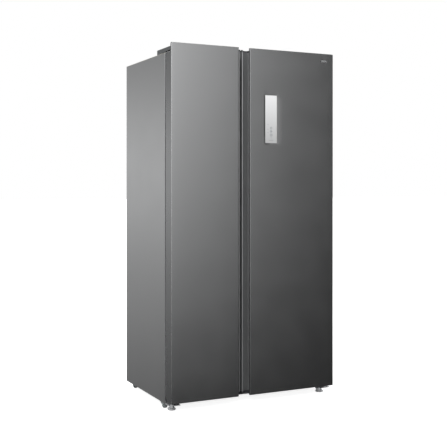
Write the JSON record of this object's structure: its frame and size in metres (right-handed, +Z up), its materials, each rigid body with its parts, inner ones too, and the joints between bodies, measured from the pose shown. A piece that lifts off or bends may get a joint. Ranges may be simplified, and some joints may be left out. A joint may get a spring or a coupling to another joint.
{
  "type": "side by side refrigerator",
  "caption": "Tall two-door refrigerator with a narrow freezer beside a wide fridge, a recessed grip channel between the doors, shelves, drawers and door bins.",
  "frame": {"origin": "on the floor, at the middle of the overall width and depth", "axes": "+Z up, -Y out of the doors' fronts, +X to the right of someone facing the doors"},
  "size_m": [0.91, 0.626, 1.766],
  "materials": {
    "inox_panel": "satin",
    "casing_steel": "satin",
    "galvanised_steel": "satin",
    "insulation_foam": "matte",
    "white_liner": "satin",
    "dark_plastic": "satin",
    "grip_trim": "satin",
    "grey_seal": "matte",
    "clear_plastic": "gloss",
    "shelf_glass": "gloss",
    "trim_silver": "satin",
    "display_glass": "gloss",
    "bright_metal": "polished",
    "black_enamel": "gloss",
    "bare_aluminium": "satin",
    "light_plastic": "satin",
    "lamp_diffuser": "satin",
    "roller_plastic": "satin"
  },
  "bodies": {
    "cabinet": {"cabinet_shell": "casing_steel", "back_panel": "galvanised_steel", "cabinet_foam": "insulation_foam", "freezer_liner": "white_liner", "fridge_liner": "white_liner", "mullion_plate": "galvanised_steel", "bottom_plate": "galvanised_steel", "compressor_base": "galvanised_steel", "compressor": "black_enamel", "condenser": "black_enamel", "condenser_fan_frame": "dark_plastic", "drip_tray": "dark_plastic", "machine_cover": "galvanised_steel", "mains_inlet": "dark_plastic", "evaporator": "bare_aluminium", "evaporator_cover": "white_liner", "fridge_air_duct": "white_liner", "lamps": "lamp_diffuser", "glass_shelves": "shelf_glass", "shelf_trims": "trim_silver", "hinge_plates": "galvanised_steel", "hinge_covers": "dark_plastic", "hinge_screws": "galvanised_steel", "roller_brackets": "galvanised_steel"},
    "freezer_door": {"freezer_door_skin": "inox_panel", "freezer_door_foam": "insulation_foam", "freezer_door_rim_core": "insulation_foam", "freezer_door_liner": "white_liner", "freezer_door_gasket": "grey_seal", "freezer_door_caps": "dark_plastic", "freezer_door_grip": "grip_trim", "freezer_bin_1": "clear_plastic", "freezer_bin_2": "clear_plastic", "freezer_bin_3": "clear_plastic", "freezer_bin_4": "clear_plastic"},
    "fridge_door": {"fridge_door_skin": "inox_panel", "fridge_door_foam": "insulation_foam", "fridge_door_rim_core": "insulation_foam", "fridge_door_liner": "white_liner", "fridge_door_gasket": "grey_seal", "fridge_door_caps": "dark_plastic", "fridge_door_grip": "grip_trim", "fridge_bin_1": "clear_plastic", "fridge_bin_2": "clear_plastic", "fridge_bin_3": "clear_plastic", "fridge_bin_4": "clear_plastic", "display_panel": "display_glass", "name_plate": "bright_metal"},
    "upper_freezer_drawer": {"freezer_drawer_upper": "clear_plastic"},
    "lower_freezer_drawer": {"freezer_drawer_lower": "clear_plastic"},
    "upper_crisper": {"crisper_upper": "clear_plastic"},
    "lower_crisper": {"crisper_lower": "clear_plastic"},
    "cooling_fan": {"condenser_fan": "light_plastic"},
    "cold_air_fan": {"evaporator_fan": "light_plastic"},
    "left_foot": {"levelling_foot_left": "bright_metal"},
    "right_foot": {"levelling_foot_right": "bright_metal"},
    "roller_front_left": {"front_roller_left": "roller_plastic"},
    "roller_front_right": {"front_roller_right": "roller_plastic"},
    "roller_back_left": {"rear_roller_left": "roller_plastic"},
    "roller_back_right": {"rear_roller_right": "roller_plastic"}
  },
  "joints": [
    {"name": "freezer_door_hinge", "type": "hinge", "parent": "cabinet", "child": "freezer_door", "pos_m": [-0.433, -0.272, 0.9], "axis": [0, 0, -1], "range_deg": [0, 120]},
    {"name": "fridge_door_hinge", "type": "hinge", "parent": "cabinet", "child": "fridge_door", "pos_m": [0.433, -0.272, 0.9], "axis": [0, 0, 1], "range_deg": [0, 120]},
    {"name": "freezer_drawer_upper_slide", "type": "slide", "parent": "cabinet", "child": "upper_freezer_drawer", "axis": [0, -1, 0], "range_m": [0, 0.074]},
    {"name": "freezer_drawer_lower_slide", "type": "slide", "parent": "cabinet", "child": "lower_freezer_drawer", "axis": [0, -1, 0], "range_m": [0, 0.058]},
    {"name": "crisper_upper_slide", "type": "slide", "parent": "cabinet", "child": "upper_crisper", "axis": [0, -1, 0], "range_m": [0, 0.074]},
    {"name": "crisper_lower_slide", "type": "slide", "parent": "cabinet", "child": "lower_crisper", "axis": [0, -1, 0], "range_m": [0, 0.058]},
    {"name": "condenser_fan_spin", "type": "hinge", "parent": "cabinet", "child": "cooling_fan", "pos_m": [0, 0.213, 0.1085], "axis": [1, 0, 0], "continuous": true},
    {"name": "evaporator_fan_spin", "type": "hinge", "parent": "cabinet", "child": "cold_air_fan", "pos_m": [-0.2455, 0.21, 0.908], "axis": [0, 1, 0], "continuous": true},
    {"name": "left_foot_turn", "type": "hinge", "parent": "cabinet", "child": "left_foot", "pos_m": [-0.42, -0.234, 0.02], "axis": [0, 0, 1], "continuous": true},
    {"name": "right_foot_turn", "type": "hinge", "parent": "cabinet", "child": "right_foot", "pos_m": [0.42, -0.234, 0.02], "axis": [0, 0, 1], "continuous": true},
    {"name": "front_roller_left_spin", "type": "hinge", "parent": "cabinet", "child": "roller_front_left", "pos_m": [-0.4375, -0.19, 0.017], "axis": [1, 0, 0], "continuous": true},
    {"name": "front_roller_right_spin", "type": "hinge", "parent": "cabinet", "child": "roller_front_right", "pos_m": [0.4375, -0.19, 0.017], "axis": [1, 0, 0], "continuous": true},
    {"name": "rear_roller_left_spin", "type": "hinge", "parent": "cabinet", "child": "roller_back_left", "pos_m": [-0.4205, 0.268, 0.015], "axis": [1, 0, 0], "continuous": true},
    {"name": "rear_roller_right_spin", "type": "hinge", "parent": "cabinet", "child": "roller_back_right", "pos_m": [0.4205, 0.268, 0.015], "axis": [1, 0, 0], "continuous": true}
  ]
}
